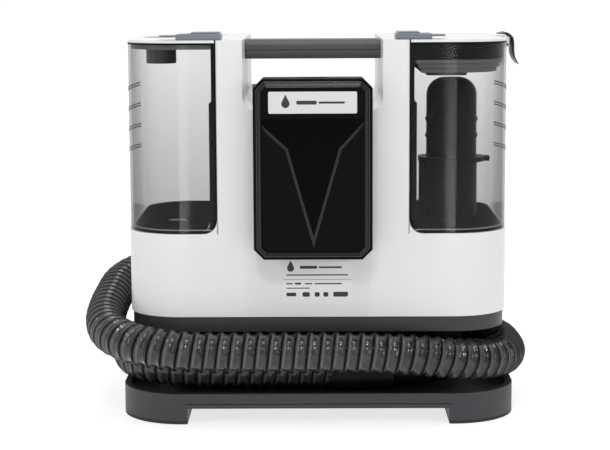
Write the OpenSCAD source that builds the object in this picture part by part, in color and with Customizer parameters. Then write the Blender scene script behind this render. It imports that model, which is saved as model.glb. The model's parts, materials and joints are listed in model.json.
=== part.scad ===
// Cordless spot extractor: two lift-out tanks beside a central spine that
// carries the handle and the battery, over a base with a groove for its hose.
// Millimetres. +Z is up, -Y is the battery side, +X is to the right of someone
// who faces the battery. The origin is on the floor, under the body's centre.

/* [Body] */
// Width across both tank bays
body_w = 312; // [290:1:380]
// Depth from battery side to tool side
body_d = 200; // [180:1:240]
// Plan radius of the body's corners
corner_r = 45; // [30:1:55]
// Wall of the white housing
wall = 3; // [2:0.5:4]
// Width of the central spine between the tanks
spine_w = 155.6; // [150:0.2:190]
// Sideways offset of the spine from the body's centre
spine_x = -3.6; // [-10:0.1:10]
// Radius where the spine runs out into the tank bays
bay_r = 11; // [6:0.5:14]

/* [Heights] */
// Height of the plinth
base_h = 25.6; // [22:0.1:34]
// Height of the groove that the hose is wound in
groove_h = 49.4; // [45:0.1:60]
// Height of the dark ring under the white housing
ring_h = 13; // [10:0.5:20]
// Height of the white housing below the tanks
shell_h = 68; // [60:1:90]
// Height of the tanks above the white housing
tank_h = 156; // [140:1:190]
// Depth of the hand opening below the top
grip_h = 57; // [50:1:70]
// Depth of the rim that locates each tank
rim_h = 6.3; // [5:0.1:8]

/* [Base] */
// How far the plinth stands out beyond the body
base_out = 7; // [3:0.5:15]
// Plan radius of the plinth's corners
base_r = 52; // [40:1:60]
// Wall of the plinth
base_wall = 3; // [2:0.5:4]
// Width of each foot
foot_w = 56.2; // [40:0.1:65]
// Clear height between the feet
foot_h = 13.1; // [8:0.1:16]
// Thickness of the soles
sole_t = 2.4; // [1.5:0.1:4]
// Width of the drum inside the hose groove
drum_w = 250; // [220:1:260]
// Depth of the drum inside the hose groove
drum_d = 124; // [110:1:126]

/* [Handle] */
// Clear width of the hand opening
grip_w = 112.6; // [104:0.1:125]
// Depth of the handle bar
bar_d = 44; // [34:1:50]
// Height of the handle bar
bar_h = 16.2; // [14:0.1:20]
// Place of the handle bar's middle from the body's middle
bar_y = -23; // [-40:1:20]
// Radius of the handle bar's long edges
bar_r = 5; // [3:0.5:6.5]

/* [Tanks] */
// Wall of the tanks
tank_wall = 2; // [1.5:0.1:2.5]
// Thickness of the lids
lid_t = 2.2; // [2:0.1:3]
// Depth of the clean tank's lid insert
clean_insert_h = 5.2; // [4:0.1:8]
// Depth of the dirty tank's lid insert
dirty_insert_h = 13.8; // [10:0.1:16]
// Height of the filter seal under the dirty tank's lid
seal_h = 11; // [8:0.5:13]
// Outer radius of the riser and separator
riser_r = 21.5; // [18:0.5:22]
// Radius of the fill cap's plug
cap_r = 12.8; // [10:0.1:14]

/* [Battery] */
// Width of the battery pack
pack_w = 94.5; // [90:0.5:104]
// Height of the battery pack
pack_h = 144; // [130:1:150]
// How far the battery pack stands out of the body
pack_out = 30; // [28:0.5:34]
// Chamfer at the battery pack's corners
pack_c = 8; // [4:0.5:10]

/* [Hose] */
// Outside diameter of the hose
hose_d = 34; // [30:0.5:36]
// Outside radius of the hose collars
collar_r = 19.5; // [18:0.5:20]

/* [Hand tool] */
// Width of the suction head
head_w = 96; // [80:1:110]
// Width of the tool's grip
tool_w = 34; // [30:1:38]
// Depth of the tool's grip
tool_d = 30; // [26:1:34]

/* [Hidden] */
$fn = 64;
white = "#E4E5E6";
dark_grey = "#4A4A4A";
plinth_grey = "#4B4C50";
black = "#161616";
smoke = "#8C8F93";
eps = 1;           // overshoot of cutting solids
gap = 0.4;         // clearance between pieces that move apart
run = 0.05;        // radial clearance of a running fit

half_w = body_w / 2;
half_d = body_d / 2;
spine_l = spine_x - spine_w / 2;
spine_rt = spine_x + spine_w / 2;
grip_l = spine_x - grip_w / 2;
grip_rt = spine_x + grip_w / 2;
z_ring = base_h + groove_h;
z_shell = z_ring + ring_h;
z_bay = z_shell + shell_h;
z_top = z_bay + tank_h;
z_deck = z_top - grip_h;
z_seat = z_bay - rim_h;
z_inside = z_seat - wall;
base_w = body_w + 2 * base_out;
base_d = body_d + 2 * base_out;
foot_in = base_w / 2 - foot_w;
deck_t = 3;        // thickness of the plinth's deck
rim_up = 3;        // height of the plinth's rim above its deck
ring_in = 1.5;     // step from the housing in to the ring

// Tanks
tank_out = 0.5;    // step from the housing in to the tanks
tank_in = 0.8;     // gap between a tank and the spine
z_tank = z_bay + gap;
plug_h = 3.2;      // height of the tank's foot inside the rim
seat_t = 2.8;      // thickness of the seats
foot_inset = bay_r + 1.5;
lid_in = 0.4;      // gap between the lid insert and the tank's wall
z_lid = z_top - lid_t;
clean_x = (-half_w + spine_l) / 2;
dirty_x = (half_w + spine_rt) / 2;
cap_x = clean_x - 14.5;
valve_y = -30;     // place of the outlet valve along the tank
valve_r = 4;
port_r = 17;       // radius of the air port below the riser
flange_h = 4;
z_flange = z_tank + 49;
z_cage = z_lid - dirty_insert_h - seal_h;
dome_r = 15;       // height of the separator's dome
cage_h = 6;
ledge_t = 1;       // ledge under the float
latch_y = -81;     // middle of the lid latches
latch_d = 34;
latch_h = 4.4;
latch_top_h = 1.6;
latch_travel = 5;
stem_l = 9;        // length of a latch's stem along its travel
clean_stem_x = spine_l - 20.6;
dirty_stem_x = spine_rt + 11.8;
clip_w = 32;
clip_x = half_w + 4.5;
clip_z = z_top - 7;
clip_pin_r = 1;

// Handle
z_bar = z_top - 1.4 - bar_h;
bar_split = 7.6;   // height of the lower half of the bar

// Battery and dock
pack_z = z_deck + 28 - pack_h;
pack_y = -half_d - pack_out;
back_w = 76;       // width of the pack's part inside the dock
neck_w = 71.4;     // width of that part between the dock's lips
back_h = 106;
back_y = -half_d + 12.5;
back_z = pack_z + 6;
pack_wall = 2.5;
plate_y = -half_d - 4;
cell_d = 18.3;
cell_l = 65;
dock_wall = 2.8;
dock_gap = 0.5;
lip_t = 2.6;
relief = 1.6;      // depth of the V-shaped relief on the cover

// Motor and air path
fan_x = spine_x;
fan_y = 12;
fan_r = 46;
fan_h = 27;
z_fan = z_inside + 3.3;
shaft_r = 4;

// Hand tool
tool_x = spine_x - 10.4;
tool_y = half_d + 24;
z_tool = 150;
head_t = 26;
z_neck = z_tool + 62;
z_head = z_neck + 36;
z_mouth = z_head + 16;
cuff_r = 18;
cuff_drop = 18;
cuff_l = 34;
tool_bore = 11;
trig_w = 18;
trig_y = tool_y + tool_d / 2 + 4;
z_trig = z_tool + 55;
pin_r = 2;

// Controls
panel_x = spine_x + 50.6;
panel_z = 159;
panel_w = 34;
panel_h = 74;
power_z = panel_z + 19;
spray_z = panel_z - 7;
lights_z = panel_z - 27;
grille_x = spine_l + 21;
grille_z = 192;
grille_w = 28;
grille_h = 86;

// Hose inlet and route; the route's points lie in the groove and beside it
inlet_y = -82.5;
inlet_z = 43;
collar_x = 11;
collar_l = 23;
nut_l = 28;
elbow_r = 14;
elbow_x = collar_x + collar_l + nut_l + 16;
route = [
    [11, -82.5, 43], [-25, -82.5, 43], [-62, -83.5, 43], [-96, -82, 43],
    [-126, -74, 43], [-147, -57, 43], [-158, -31, 43], [-161, 0, 43],
    [-158, 31, 43], [-147, 57, 43], [-126, 75, 43], [-95, 83, 43],
    [-50, 84, 43], [0, 84, 43], [50, 84, 43], [95, 83, 43], [126, 75, 43],
    [148, 57, 43], [159, 31, 43], [161, 0, 44], [160, -32, 45],
    [152, -62, 47], [135, -87, 49.5], [110, -104, 54], [82, -113, 58.5],
    [50, -117, 61], [10, -118, 62], [-40, -118, 62], [-85, -118, 62.5],
    [-120, -117, 64.5], [-149, -106, 67.5], [-170, -82, 71], [-179, -50, 75],
    [-181, -15, 80], [-180, 22, 85], [-177, 58, 90], [-165, 90, 94],
    [-143, 112, 96], [-116, 122, 94], [-90, 125, 91], [-68, 125, 91.5],
    [-51, 124.5, 97], [-38, 124, 108]];

// Outline with quarter-round corners, centred
module rounded(w, d, r) {
    square([w, d - 2 * r], center = true);
    square([w - 2 * r, d], center = true);
    for (x = [-1, 1], y = [-1, 1])
        translate([x * (w / 2 - r), y * (d / 2 - r)]) circle(r);
}
module slab(w, d, r, h) { linear_extrude(h) rounded(w, d, r); }
module tube(r_out, r_in, h) {
    difference() {
        cylinder(r = r_out, h = h);
        translate([0, 0, -eps]) cylinder(r = r_in, h = h + 2 * eps);
    }
}
module along_x(x, y, z) { translate([x, y, z]) rotate([0, 90, 0]) children(); }
module along_y(x, y, z) { translate([x, y, z]) rotate([-90, 0, 0]) children(); }
// Outline in X and Z, extruded from y0 to y1
module upright(y0, y1) {
    translate([0, y1, 0]) rotate([90, 0, 0]) linear_extrude(y1 - y0) children();
}
module box(x0, x1, y0, y1, z0, z1) {
    translate([x0, y0, z0]) cube([x1 - x0, y1 - y0, z1 - z0]);
}

// ---- Base ----
module foot_outline(inset) {
    difference() {
        rounded(base_w - 2 * inset, base_d - 2 * inset, base_r - inset);
        square([2 * (foot_in + inset), base_d + 2 * eps], center = true);
    }
}
module plinth() {
    color(plinth_grey) difference() {
        translate([0, 0, sole_t]) slab(base_w, base_d, base_r, base_h - sole_t);
        // hose tray inside the rim
        translate([0, 0, base_h - rim_up])
            slab(base_w - 12, base_d - 12, base_r - 6, rim_up + eps);
        // hollow feet and hollow deck
        translate([0, 0, sole_t - eps]) linear_extrude(foot_h + eps - sole_t + 2)
            foot_outline(base_wall);
        translate([0, 0, foot_h - eps])
            slab(base_w - 2 * base_wall, base_d - 2 * base_wall, base_r - base_wall,
                base_h - rim_up - deck_t - foot_h + eps);
        // passage between the feet
        box(-foot_in, foot_in, -base_d, base_d, -eps, foot_h);
    }
}
module foot_soles() {
    color(black) linear_extrude(sole_t) foot_outline(0);
}
module underside_cover() {
    color(plinth_grey) box(-foot_in + base_wall, foot_in - base_wall,
        -base_d / 2 + base_wall, base_d / 2 - base_wall, foot_h, foot_h + 1.6);
}
module case_screws() {
    color("silver") {
        // four screws hold the handle bar between the uprights
        for (s = [-1, 1], y = [-1, 1]) {
            x = spine_x + s * (grip_w / 2 + wall);
            along_x(s < 0 ? x - 2.4 : x, bar_y + y * 11, z_bar + 5) cylinder(r = 3.6, h = 2.4);
            along_x(s < 0 ? x : x - 11, bar_y + y * 11, z_bar + 5) cylinder(r = 2, h = 11);
        }
        // four screws hold the drum to the plinth's deck
        for (x = [-1, 1], y = [-1, 1]) translate([x * 90, y * 40, 0]) {
            translate([0, 0, base_h - rim_up - deck_t - 2.2]) cylinder(r = 3.6, h = 2.2);
            translate([0, 0, base_h - rim_up - deck_t]) cylinder(r = 2, h = 9);
        }
    }
}
module hose_drum() {
    r = drum_d / 2 - 2;
    color(black) difference() {
        translate([0, 0, base_h - rim_up]) slab(drum_w, drum_d, r, groove_h + rim_up);
        translate([0, 0, base_h - rim_up + wall])
            slab(drum_w - 2 * wall, drum_d - 2 * wall, r - wall, groove_h + rim_up);
    }
}
module base_ring() {
    w = body_w - 2 * ring_in;
    d = body_d - 2 * ring_in;
    r = corner_r - ring_in;
    color("#3B3B3B") difference() {
        translate([0, 0, z_ring]) slab(w, d, r, ring_h);
        translate([0, 0, z_ring + wall]) slab(w - 2 * wall, d - 2 * wall, r - wall, ring_h);
        translate([0, 0, z_ring - eps])
            slab(drum_w - 4 * wall, drum_d - 4 * wall, drum_d / 2 - 2 - 2 * wall, 2 * wall);
    }
}

// ---- White housing ----
// Outline of a tank bay: side is -1 or 1, out is the step in from the body's
// outline and inn is the distance from the spine
module bay_outline(side, out, inn) {
    x0 = side < 0 ? -half_w : spine_rt + inn;
    x1 = side < 0 ? spine_l - inn : half_w;
    intersection() {
        rounded(body_w - 2 * out, body_d - 2 * out, corner_r - out);
        translate([x0, -half_d]) square([x1 - x0, body_d]);
    }
}
module bay_fillet(side) {
    x = side < 0 ? spine_l - bay_r : spine_rt;
    upright(-half_d, half_d) translate([x, z_bay]) difference() {
        square(bay_r);
        translate([side < 0 ? 0 : bay_r, bay_r]) circle(bay_r);
    }
}
module grip_outline() {
    r = 12;
    translate([spine_x, z_deck]) {
        translate([-grip_w / 2, r]) square([grip_w, grip_h + eps]);
        translate([r - grip_w / 2, 0]) square([grip_w - 2 * r, grip_h]);
        for (s = [-1, 1]) translate([s * (grip_w / 2 - r), r]) circle(r);
    }
}
module housing() {
    difference() {
        union() {
            translate([0, 0, z_shell]) slab(body_w, body_d, corner_r, shell_h);
            translate([spine_x, 0, z_bay - eps]) slab(spine_w, body_d, 3, tank_h + eps);
            for (s = [-1, 1]) bay_fillet(s);
        }
        translate([0, 0, z_shell - eps])
            slab(body_w - 2 * wall, body_d - 2 * wall, corner_r - wall, z_inside - z_shell + eps);
        translate([spine_x, 0, z_inside - eps])
            slab(spine_w - 2 * wall, body_d - 2 * wall, 1.5, z_deck - wall - z_inside + eps);
        for (s = [-1, 1]) {
            translate([0, 0, z_seat]) linear_extrude(rim_h + gap)
                bay_outline(s, wall, foot_inset);
            // hollow uprights
            x = spine_x + s * (spine_w + grip_w) / 4;
            translate([x, 0, z_deck - wall - eps])
                slab((spine_w - grip_w) / 2 - 2 * wall, body_d - 2 * wall, 1.5, grip_h + eps);
        }
        upright(-half_d - eps, half_d + eps) grip_outline();
        // air port under the dirty tank and valve socket under the clean one
        translate([dirty_x, 0, z_inside - eps]) cylinder(r = port_r, h = 3 * wall);
        translate([clean_x, valve_y, z_inside - eps]) cylinder(r = 9, h = 3 * wall);
        // battery dock
        dock_cut();
        // exhaust and control openings on the tool side
        box(grille_x - grille_w / 2, grille_x + grille_w / 2, half_d - wall - eps, half_d + eps,
            grille_z - grille_h / 2, grille_z + grille_h / 2);
        box(panel_x - 12, panel_x + 12, half_d - wall - eps, half_d + eps,
            panel_z - 32, panel_z + 32);
    }
}
module dock_cut() {
    w = back_w + 2 * (dock_gap + dock_wall);
    box(spine_x - w / 2, spine_x + w / 2, -half_d - eps, back_y + dock_gap + dock_wall,
        back_z - gap - dock_wall, z_deck + eps);
}
module rear_housing() {
    color(white) intersection() {
        housing();
        box(-body_w, body_w, -body_d, 0, 0, 2 * z_top);
    }
}
module front_housing() {
    color(white) intersection() {
        housing();
        box(-body_w, body_w, 0, body_d, 0, 2 * z_top);
    }
}
module seat(side) {
    translate([0, 0, z_seat]) linear_extrude(seat_t)
        bay_outline(side, wall + 0.1, foot_inset + 0.1);
}
module clean_seat() {
    color(black) difference() {
        seat(-1);
        translate([clean_x, valve_y, z_seat - eps]) cylinder(r = 9, h = seat_t + 2 * eps);
    }
}
module dirty_seat() {
    color(black) difference() {
        seat(1);
        translate([dirty_x, 0, z_seat - eps]) cylinder(r = port_r, h = seat_t + 2 * eps);
    }
}

// ---- Handle ----
module bar_profile(inset) {
    translate([bar_y, z_bar + bar_h / 2])
        rounded(bar_d - 2 * inset, bar_h - 2 * inset, bar_r);
}
module bar(inset) {
    translate([grip_l, 0, 0]) rotate([90, 0, 90]) linear_extrude(grip_w) bar_profile(inset);
}
module handle_bar() {
    color("#565656") intersection() {
        bar(0);
        box(grip_l, grip_rt, -body_d, body_d, z_bar + bar_split, z_top);
    }
}
module handle_underside() {
    color(dark_grey) intersection() {
        bar(0.4);
        box(grip_l, grip_rt, -body_d, body_d, z_deck, z_bar + bar_split);
    }
}

// ---- Battery dock ----
module rating_plate() {
    color("#DADBDC") box(spine_x + 3 - 29, spine_x + 3 + 29, -half_d - 0.4, -half_d,
        97.4, 134);
}
module battery_dock() {
    w = back_w + 2 * dock_gap;
    z0 = back_z - gap;
    y1 = back_y + dock_gap;
    color(black) difference() {
        box(spine_x - w / 2 - dock_wall, spine_x + w / 2 + dock_wall,
            -half_d, y1 + dock_wall, z0 - dock_wall, z_deck);
        // pocket behind the lips, open at the top
        box(spine_x - w / 2, spine_x + w / 2, -half_d + lip_t, y1, z0, z_deck + eps);
        // slot between the lips
        box(spine_x - neck_w / 2 - gap, spine_x + neck_w / 2 + gap,
            -half_d - eps, -half_d + lip_t + eps, z0, z_deck + eps);
    }
}
module dock_terminals() {
    color("#B08D57") for (s = [-1, 0, 1])
        box(spine_x + s * 14 - 0.5, spine_x + s * 14 + 0.5, back_y - 7, back_y - 1,
            back_z - gap, back_z + 9);
}

// ---- Controls and grille on the tool side ----
module exhaust_grille() {
    n = 11;
    w = grille_w - 0.2;
    h = grille_h - 0.2;
    color(dark_grey) difference() {
        box(grille_x - w / 2, grille_x + w / 2, half_d - wall, half_d + 0.6,
            grille_z - h / 2, grille_z + h / 2);
        for (i = [0 : n - 1]) {
            z = grille_z - h / 2 + (i + 0.5) * h / n;
            box(grille_x - w / 2 + 4, grille_x + w / 2 - 4, half_d - 2 * wall, half_d + 2,
                z - 1.8, z + 1.8);
        }
    }
}
module control_panel() {
    color(black) difference() {
        upright(half_d, half_d + 3) translate([panel_x, panel_z]) rounded(panel_w, panel_h, 6);
        along_y(panel_x, half_d - eps, power_z) cylinder(r = 9 + gap, h = 5);
        along_y(panel_x, half_d - eps, spray_z) cylinder(r = 7 + gap, h = 5);
        box(panel_x - 11, panel_x + 11, half_d + 1, half_d + 4, lights_z - 2.5, lights_z + 2.5);
    }
}
module charge_lights() {
    color("lightgreen") for (i = [0 : 3])
        box(panel_x - 10.4 + i * 5.4, panel_x - 5.8 + i * 5.4, half_d + 1, half_d + 3.2,
            lights_z - 2.3, lights_z + 2.3);
}
module button(z, r) {
    along_y(panel_x, half_d + 1.4, z) cylinder(r = r, h = 4.2);
    along_y(panel_x, half_d - 8, z) cylinder(r = 3.5, h = 10);
}
module power_button() { color("#2E7D6B") button(power_z, 9); }
module spray_button() { color("#5A5D60") button(spray_z, 7); }
module circuit_board() {
    y = half_d - 12;
    color("#1F5A38") box(panel_x - 19, panel_x + 19, y, y + 1.6, panel_z - 42, panel_z + 42);
    color("#303030") for (p = [[-11, -24, 12], [9, -30, 9], [-8, 26, 14]])
        box(panel_x + p[0] - p[2] / 2, panel_x + p[0] + p[2] / 2, y - 8, y,
            panel_z + p[1] - p[2] / 2, panel_z + p[1] + p[2] / 2);
}

// ---- Motor, fan and air path ----
module motor_bracket() {
    color(dark_grey) difference() {
        box(spine_l + wall, spine_rt - wall, fan_y - 50, fan_y + 50, z_inside, z_fan);
        translate([fan_x, fan_y, z_inside - eps]) cylinder(r = port_r, h = 6);
    }
}
module fan_housing() {
    color("#6A6D70") translate([fan_x, fan_y, z_fan]) difference() {
        cylinder(r = fan_r, h = fan_h);
        translate([0, 0, 2.5]) cylinder(r = fan_r - 3, h = fan_h - 5);
        translate([0, 0, -eps]) cylinder(r = port_r, h = 5);
        translate([0, 0, fan_h - 4]) cylinder(r = shaft_r + 1.5, h = 6);
        // outlet towards the grille
        translate([-fan_r - 2, -9, 6]) cube([fan_r / 2, 18, fan_h - 12]);
    }
}
module motor_can() {
    h = 52;
    color("silver") translate([fan_x, fan_y, z_fan + fan_h]) difference() {
        cylinder(r = 31, h = h);
        translate([0, 0, 4]) cylinder(r = 28.5, h = h - 8);
        translate([0, 0, -eps]) cylinder(r = shaft_r + run, h = h + 2 * eps);
    }
}
module motor_shaft() {
    color("silver") translate([fan_x, fan_y, z_fan + 8]) {
        cylinder(r = shaft_r, h = fan_h + 52);
        // armature on the shaft
        translate([0, 0, fan_h + 4]) cylinder(r = 22, h = 28);
    }
}
module impeller() {
    color("#C9CBCD") translate([fan_x, fan_y, z_fan + 5]) difference() {
        union() {
            cylinder(r = 38, h = 2.5);
            for (a = [0 : 40 : 320]) rotate(a) translate([8, -1, 2]) cube([28, 2, 10]);
            cylinder(r = 9, h = 14);
        }
        translate([0, 0, 3]) cylinder(r = shaft_r, h = 20);
    }
}
module air_duct() {
    y = 19;
    x0 = fan_x - port_r - 6;
    x1 = dirty_x + port_r + 6;
    h = 21;
    color(black) difference() {
        box(x0, x1, -y, y + fan_y, z_inside - h, z_inside);
        box(x0 + 2, x1 - 2, 2 - y, y + fan_y - 2, z_inside - h + 2, z_inside - 2);
        translate([fan_x, fan_y, z_inside - 4]) cylinder(r = port_r, h = 6);
        translate([dirty_x, 0, z_inside - 4]) cylinder(r = port_r, h = 6);
    }
}
module pump() {
    x = clean_x + 8;
    color("#2C4A6E") {
        along_x(x - 30, 45, z_shell + 26) cylinder(r = 16, h = 50);
        box(x - 24, x + 14, 34, 56, z_ring + wall, z_shell + 16);
        along_x(x + 20, 45, z_shell + 26) cylinder(r = 5, h = 12);
    }
}

// ---- Hose inlet, collars and hose ----
module inlet_elbow() {
    color(black) difference() {
        union() {
            along_x(elbow_x - 16, inlet_y, inlet_z) cylinder(r = elbow_r, h = 16);
            translate([elbow_x, inlet_y, inlet_z]) sphere(elbow_r);
            along_y(elbow_x, inlet_y, inlet_z) cylinder(r = elbow_r, h = 22.5);
        }
        along_x(elbow_x - 17, inlet_y, inlet_z) cylinder(r = tool_bore, h = 17);
        along_y(elbow_x, inlet_y, inlet_z) cylinder(r = tool_bore, h = 30);
    }
}
module hose_collars() {
    color(dark_grey) {
        along_x(collar_x, inlet_y, inlet_z) tube(collar_r, tool_bore, collar_l);
        along_x(collar_x + collar_l, inlet_y, inlet_z) tube(collar_r - 1.2, tool_bore, nut_l);
    }
}
// Unit vector
function unit(v) = v / norm(v);
// Direction of the route at point i
function heading(i) = i == 0 ? [-1, 0, 0]
    : i == len(route) - 1 ? unit([1, 0, 1])
    : unit(route[i + 1] - route[i - 1]);
function across(t) = unit(cross(t, [0, 0, 1]));
sides = 10;
module hose() {
    n = len(route);
    rings = [for (i = [0 : n - 1]) let (t = heading(i), u = across(t), v = cross(t, u))
        for (k = [0 : sides - 1]) let (a = 360 * k / sides)
            route[i] + hose_d / 2 * (cos(a) * u + sin(a) * v)];
    skin = [for (i = [0 : n - 2], k = [0 : sides - 1])
        [i * sides + k, (i + 1) * sides + k,
            (i + 1) * sides + (k + 1) % sides, i * sides + (k + 1) % sides]];
    start = [[for (k = [0 : sides - 1]) k]];
    end = [[for (k = [sides - 1 : -1 : 0]) (n - 1) * sides + k]];
    color("#3A3A3C") polyhedron(rings, concat(skin, start, end), convexity = 12);
}

// ---- Clean tank ----
// Tank block: outline of the bay, with the edge at the spine's foot rounded
module tank_block(side, out, inn, z0, z1, r) {
    e = side < 0 ? spine_l - inn : spine_rt + inn;
    c = e + side * r;
    intersection() {
        translate([0, 0, z0]) linear_extrude(z1 - z0) bay_outline(side, out, inn);
        upright(-half_d, half_d) {
            translate([min(c, side * half_w), z0]) square([abs(side * half_w - c), z1 - z0]);
            translate([min(e, c), z0 + r]) square([r, z1 - z0 - r]);
            translate([c, z0 + r]) circle(r);
        }
    }
}
module tank_shell(side) {
    t = tank_wall;
    z_foot = z_tank - plug_h;
    difference() {
        union() {
            tank_block(side, tank_out, tank_in, z_tank, z_lid - 0.3, bay_r);
            translate([0, 0, z_foot]) linear_extrude(plug_h + eps)
                bay_outline(side, wall + gap, foot_inset + gap);
        }
        tank_block(side, tank_out + t, tank_in + t, z_tank + t, z_top, bay_r - t);
        translate([0, 0, z_foot + t]) linear_extrude(plug_h + eps)
            bay_outline(side, wall + gap + t, foot_inset + gap + t);
    }
}
module clean_tank_shell() {
    color(smoke) difference() {
        tank_shell(-1);
        translate([clean_x, valve_y, z_seat]) cylinder(r = valve_r + run, h = 20);
    }
}
module lid_plate(side) {
    translate([0, 0, z_lid]) linear_extrude(lid_t) bay_outline(side, tank_out, tank_in);
}
module lid_insert(side, z0, z1, out) {
    i = tank_wall + lid_in + out;
    tank_block(side, tank_out + i, tank_in + i, z0, z1, 2);
}
module clean_lid() {
    color(white) difference() {
        lid_plate(-1);
        translate([cap_x, 0, z_lid - eps]) cylinder(r = cap_r + 2.4 + gap, h = 2 * lid_t);
        stem_slot(-1, clean_stem_x);
    }
}
module clean_lid_insert() {
    color(black) difference() {
        lid_insert(-1, z_lid - clean_insert_h, z_lid, 0);
        translate([cap_x, 0, z_lid - 20]) cylinder(r = cap_r + gap, h = 30);
    }
}
module fill_cap() {
    z0 = z_lid - 20;
    color("#4A4C4E") {
        translate([cap_x, 0, z0]) cylinder(r = cap_r, h = 20 + gap);
        translate([cap_x, 0, z_lid + gap]) cylinder(r = cap_r + 2.4, h = lid_t - gap);
    }
}
// Slot for a latch's stem, long enough for the latch's travel
module stem_slot(side, x) {
    a = x - side * (stem_l + 0.5);
    b = x + side * (latch_travel + 0.5);
    box(min(a, b), max(a, b), latch_y - 4.4, latch_y + 4.4, z_lid - eps, z_top + eps);
}
// Lid latch on one side: x0 and x1 are its outer and inner ends, t0 and t1 the
// ends of its top tier, stem the outer end of its stem and tab its tab's length
module latch(side, x0, x1, t0, t1, stem, tab) {
    z = z_top + 0.3;
    y = latch_d / 2;
    box(min(x0, x1), max(x0, x1), latch_y - y, latch_y + y, z, z + latch_h);
    box(min(t0, t1), max(t0, t1), latch_y - y + 3, latch_y + y - 3,
        z + latch_h, z + latch_h + latch_top_h);
    // thumb tab at the outer end
    box(min(x0, x0 + side * tab), max(x0, x0 + side * tab), latch_y - 9, latch_y + 9,
        z + 2, z + 3.4);
    // stem in the lid's slot
    box(min(stem, stem - side * stem_l), max(stem, stem - side * stem_l),
        latch_y - 4, latch_y + 4, z_lid + 0.3, z + 0.1);
}
module clean_latch() {
    color("#7C7F83") latch(-1, spine_l - 31.6,
        spine_l + 4, spine_l - 19.6, spine_l + 3, clean_stem_x, 14);
}
module outlet_valve() {
    color("#B8BABC") translate([clean_x, valve_y, 0]) {
        translate([0, 0, z_seat + 1]) cylinder(r = valve_r, h = 8);
        translate([0, 0, z_tank - plug_h + tank_wall + 0.3]) cylinder(r = 8, h = 3);
    }
}

// ---- Dirty tank ----
module dirty_tank_shell() {
    color(smoke) difference() {
        tank_shell(1);
        translate([dirty_x, 0, z_seat]) cylinder(r = port_r, h = 20);
    }
}
module riser_column() {
    z0 = z_tank - plug_h + tank_wall;
    color("#1B1B1D") {
        translate([dirty_x, 0, z0]) tube(riser_r + 0.6, port_r + 1, z_flange - z0);
        // narrow return pipe beside the riser
        translate([dirty_x - riser_r - 2.4, 6, z_tank + tank_wall])
            cylinder(r = 3.6, h = z_flange - z_tank - tank_wall);
    }
}
module separator() {
    t = 2.2;
    z_ball = z_cage - cage_h - 2 - dome_r;
    h = z_ball - z_flange;
    color("#1B1B1D") translate([dirty_x, 0, z_flange]) difference() {
        union() {
            cylinder(r = riser_r + 7, h = flange_h);
            translate([riser_r, -6, 0]) cube([11, 12, flange_h]);
            cylinder(r = riser_r, h = h);
            // raised bands
            for (z = [h - 36, h - 22]) translate([0, 0, z]) cylinder(r = riser_r + 1, h = 3);
            rotate_extrude() dome(riser_r, dome_r, h);
        }
        translate([0, 0, -eps]) cylinder(r = riser_r - t, h = h + eps);
        rotate_extrude() dome(riser_r - t, dome_r - t, h);
        // windows where the air leaves
        for (a = [45, 225]) rotate(a) translate([0, -7, h - 18]) cube([40, 14, 12]);
    }
}
// Half outline of a dome: a quarter-round edge under a flat top
module dome(r, rise, z) {
    translate([0, z]) square([r - rise, rise]);
    intersection() {
        translate([r - rise, z]) circle(rise);
        translate([r - rise, z]) square(rise);
    }
    translate([0, z - 0.01]) square([r, 0.01]);
}
module dirty_lid() {
    color(white) {
        difference() {
            lid_plate(1);
            stem_slot(1, dirty_stem_x);
        }
        // ears that hold the side clip's pin
        for (s = [-1, 1]) translate([0, s * (clip_w / 2 + 2), 0]) {
            box(half_w - tank_out + gap, clip_x + 1.4, -1.6, 1.6, clip_z - 2, z_top - 0.6);
            box(half_w - 4, clip_x + 1.4, -1.6, 1.6, z_lid, z_top - 0.6);
        }
    }
}
module dirty_lid_insert() {
    color(black) lid_insert(1, z_lid - dirty_insert_h, z_lid, 0);
}
module filter_seal() {
    step = seal_h / 3;
    color("#5A5B5C") for (i = [0 : 2])
        lid_insert(1, z_cage + i * step, z_cage + seal_h, 5.5 - 2.25 * i);
}
module float_cage() {
    color("#2A2B2C") translate([dirty_x - 5, 0, z_cage - cage_h]) difference() {
        slab(34, 30, 4, cage_h);
        // opening with a ledge that the float lies on
        translate([0, 0, -eps]) slab(22, 18, 2, cage_h + 2 * eps);
        translate([0, 0, ledge_t]) slab(28, 24, 2, cage_h);
    }
}
module float_valve() {
    color("orange") translate([dirty_x - 5, 0, z_cage - cage_h + ledge_t + 0.3])
        slab(26, 22, 2, 1.4);
}
module dirty_latch() {
    color("#7C7F83") latch(1, spine_rt + 17.8,
        spine_rt - 11, spine_rt + 7.8, spine_rt - 10, dirty_stem_x, 11);
}
// Side clip: a curved strip that hooks over the lid's edge
module side_clip() {
    x = clip_x;
    z = clip_z;
    color("#3C3E42") difference() {
        union() {
            upright(-clip_w / 2, clip_w / 2) {
                polygon([[x - 7, z + 7.8], [x - 1, z + 8.2], [x + 2.8, z + 5.4],
                    [x + 4, z + 1], [x + 4.4, z - 7], [x + 6, z - 12.5], [x + 9.4, z - 17.5],
                    [x + 10.8, z - 16], [x + 8.4, z - 12], [x + 7, z - 7], [x + 6.6, z + 2],
                    [x + 5, z + 7], [x + 0.4, z + 10.6], [x - 7, z + 9.6]]);
                translate([x, z]) circle(2.4);
                translate([x, z - 1.2]) square([5, 2.4]);
            }
        }
        along_y(x, -clip_w, z) cylinder(r = clip_pin_r + run, h = 2 * clip_w);
    }
}
module clip_pin() {
    l = clip_w + 7.2;
    color("silver") along_y(clip_x, -l / 2, clip_z) cylinder(r = clip_pin_r, h = l);
}

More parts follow.
